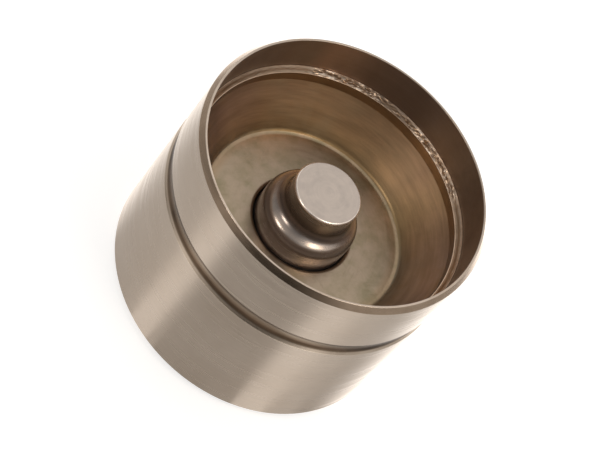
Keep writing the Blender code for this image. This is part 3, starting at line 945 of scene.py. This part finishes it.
# painted light and shade that only glossy rays see:
# start x and y in mm; heading, half width and softness in degrees; level in the metal
PAINTED_PAPER_WEDGES = [
    (10.3, -11.5, 14.5, 9.5, 3, 0.34),     # a dim strip beside the light at the right
    (-10.3, -11.5, 112, 19, 24, 2.30),     # light from behind, at both sides
    (10.3, -11.5, 70, 21, 24, 2.90),
    (0.8, -9.0, 277.5, 35.5, 1.5, 0.38),   # shade of the camera
    (-0.9, -10.4, 228, 10.5, 1.5, 0.99),   # lamp light at the left
    (2.5, -11.5, 330, 12.5, 1.5, 0.99),    # and at the right
]
bpy.ops.mesh.primitive_circle_add(vertices=128, radius=FLOOR_RADIUS, fill_type="NGON",
                                  location=(0, 0, -FLOOR_DEPTH))
floor = bpy.context.object
floor.name = "floor"

# %% White paper: matt and close to white, with painted light and shade that the metal mirrors
paper = bpy.data.materials.new("white_paper")
paper.use_nodes = True
tree = paper.node_tree
shader = tree.nodes["Principled BSDF"]
shader.inputs["Base Color"].default_value = linear("#bdbbb8")
shader.inputs["Roughness"].default_value = 0.9
ray = add_node(tree, "ShaderNodeLightPath")
on_paper = add_node(tree, "ShaderNodeTexCoord").outputs["Object"]
mirrored = PAPER_LEVEL
for x, y, heading, half, soft, level in PAINTED_PAPER_WEDGES:
    away = add_node(tree, "ShaderNodeVectorMath", {
        0: on_paper, 1: (x * MM, y * MM, 0)}, operation="SUBTRACT")
    away = add_node(tree, "ShaderNodeVectorMath", {0: away.outputs[0]}, operation="NORMALIZE")
    heading = math.radians(heading)
    facing = add_node(tree, "ShaderNodeVectorMath", {
        0: away.outputs[0], 1: (math.cos(heading), math.sin(heading), 0)},
        operation="DOT_PRODUCT")
    share = add_node(tree, "ShaderNodeMapRange", {
        "Value": facing.outputs["Value"], "From Min": math.cos(math.radians(half + soft)),
        "From Max": math.cos(math.radians(half - soft))}, interpolation_type="SMOOTHSTEP")
    mirrored = add_node(tree, "ShaderNodeMix", {
        "Factor": share.outputs["Result"], "A": mirrored, "B": level}).outputs["Result"]
mirrored = add_node(tree, "ShaderNodeMath", {
    0: mirrored, 1: ray.outputs["Is Glossy Ray"]}, operation="MULTIPLY")
seen = add_node(tree, "ShaderNodeMath", {
    0: ray.outputs["Is Camera Ray"], 1: ray.outputs["Is Transmission Ray"]},
    operation="MAXIMUM")
lift = add_node(tree, "ShaderNodeMath", {
    0: seen.outputs[0], 1: PAPER_LIFT, 2: mirrored.outputs[0]}, operation="MULTIPLY_ADD")
tree.links.new(lift.outputs[0], shader.inputs["Emission Strength"])
shader.inputs["Emission Color"].default_value = linear("#ffffff")
floor.data.materials.append(paper)
floor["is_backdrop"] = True
print("floor of white paper with", len(PAINTED_PAPER_WEDGES), "wedges of light and shade")

# %% [markdown]
# ## Room and soft boxes
#
# The room is white, brightest behind the part, which makes the sides of the cylinder fade into
# the background. Its dark side, where the camera stands, draws the rim's chamfer and the groove
# as dark lines. Above the camera it is dim, for the nose's shoulder. A soft box stands at the
# left and another at the right, and the nose draws them as its small bright highlights.

# %% Room
ROOM_BRIGHTNESS = 0.80
# azimuth, elevation, inner and outer radius in degrees, brightness
ROOM_PATCHES = [
    (90, 45, 30, 75, 1.02),      # bright back
    (192, 34, 18, 36, 0.30),     # dim at the left, and above the camera
    (252, 48, 18, 42, 0.36),
    (281, 0, 26, 47, 0.08),      # dark where the camera stands
]

room = bpy.data.worlds.new("white_room")
bpy.context.scene.world = room
room.use_nodes = True
tree = room.node_tree
direction = add_node(tree, "ShaderNodeTexCoord").outputs["Generated"]
brightness = ROOM_BRIGHTNESS
for azimuth, elevation, inner, outer, level in ROOM_PATCHES:
    a, e = math.radians(azimuth), math.radians(elevation)
    facing = add_node(tree, "ShaderNodeVectorMath", {
        0: direction, 1: (math.cos(a) * math.cos(e), math.sin(a) * math.cos(e), math.sin(e))},
        operation="DOT_PRODUCT")
    share = add_node(tree, "ShaderNodeMapRange", {
        "Value": facing.outputs["Value"], "From Min": math.cos(math.radians(outer)),
        "From Max": math.cos(math.radians(inner))}, interpolation_type="SMOOTHSTEP")
    brightness = add_node(tree, "ShaderNodeMix", {
        "Factor": share.outputs["Result"], "A": brightness, "B": level}).outputs["Result"]
ray = add_node(tree, "ShaderNodeLightPath")
shown = add_node(tree, "ShaderNodeMix", {
    "Factor": ray.outputs["Is Camera Ray"], "A": brightness, "B": 1.0})
tree.links.new(shown.outputs["Result"], tree.nodes["Background"].inputs["Strength"])
tree.nodes["Background"].inputs["Color"].default_value = linear("#ffffff")
print("room with", len(ROOM_PATCHES), "patches")


# %% Soft boxes
def soft_box(name, azimuths, elevations, brightness, tint, distance=0.8):
    """A lamp over a span of azimuth and of elevation, in degrees.

    brightness is what a mirror would show, so it doesn't change with the distance.
    """
    a, e = (math.radians(sum(span) / 2) for span in (azimuths, elevations))
    width, height = (2 * distance * math.tan(math.radians(span[1] - span[0]) / 2)
                     for span in (azimuths, elevations))
    width *= math.cos(e)
    lamp = bpy.data.lights.new(name, "AREA")
    lamp.shape = "RECTANGLE"
    lamp.size, lamp.size_y = width, height
    lamp.energy = brightness * math.pi * width * height
    lamp.color = linear(tint)[:3]
    box = bpy.data.objects.new(name, lamp)
    bpy.context.scene.collection.objects.link(box)
    away = Vector((math.cos(a) * math.cos(e), math.sin(a) * math.cos(e), math.sin(e)))
    side = Vector((-math.sin(a), math.cos(a), 0))
    spot = Vector((0, 0, bucket_height / 2)) + away * distance
    box.matrix_world = Matrix.Translation(spot) @ Matrix(
        (side, away.cross(side), away)).transposed().to_4x4()
    print(name, round(width, 2), "x", round(height, 2), "m,", round(lamp.energy, 2), "W")


soft_box("box_right", (325, 361), (49, 62), 6.0, "#fff1de")
soft_box("box_left", (218, 239), (38, 49), 9.0, "#fff6ec")

# %% [markdown]
# ## Camera
#
# The photograph looks down into the open end at about fifty degrees, and the camera is rolled
# by forty one, so the upright part seems to lean. The lens is long but near: the closer rim is
# plainly larger than the far edge. These numbers were solved from the ellipses of the rims.

# %% Camera at the photograph's view
elevation = math.radians(49.595)
roll = math.radians(40.95)
camera_distance = 289.56 * MM
aim_offset = Vector((-0.194, -0.335)) * MM
FOCAL_PIXELS = 2564.56
IMAGE_WIDTH = 600
SENSOR_WIDTH = 36.0

back = Vector((0, -math.cos(elevation), math.sin(elevation)))
level_up = Vector((0, math.sin(elevation), math.cos(elevation)))
level_right = Vector((1, 0, 0))
right = level_right * math.cos(roll) + level_up * math.sin(roll)
up = level_up * math.cos(roll) - level_right * math.sin(roll)

camera = bpy.data.objects.new("camera", bpy.data.cameras.new("camera"))
bpy.context.scene.collection.objects.link(camera)
camera.data.sensor_width = SENSOR_WIDTH
camera.data.lens = SENSOR_WIDTH * FOCAL_PIXELS / IMAGE_WIDTH
camera.data.clip_start, camera.data.clip_end = 0.01, 20.0
place = Vector((0, 0, bucket_height / 2)) + back * camera_distance
place -= right * aim_offset.x + up * aim_offset.y
camera.matrix_world = Matrix.Translation(place) @ Matrix((right, up, back)).transposed().to_4x4()
bpy.context.scene.camera = camera
bpy.context.scene.view_settings.view_transform = "Standard"
print("lens", round(camera.data.lens, 1), "mm on a", round(SENSOR_WIDTH), "mm sensor")

# %% [markdown]
# ## The dressed tappet's size
#
# The dressed tappet has to fill the same box as its CAD pieces. Its own box is printed.

# %% Print the dressed tappet's box
low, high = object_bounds()
print("visual box", tuple(round(v * 1000, 2) for v in high - low), "mm")
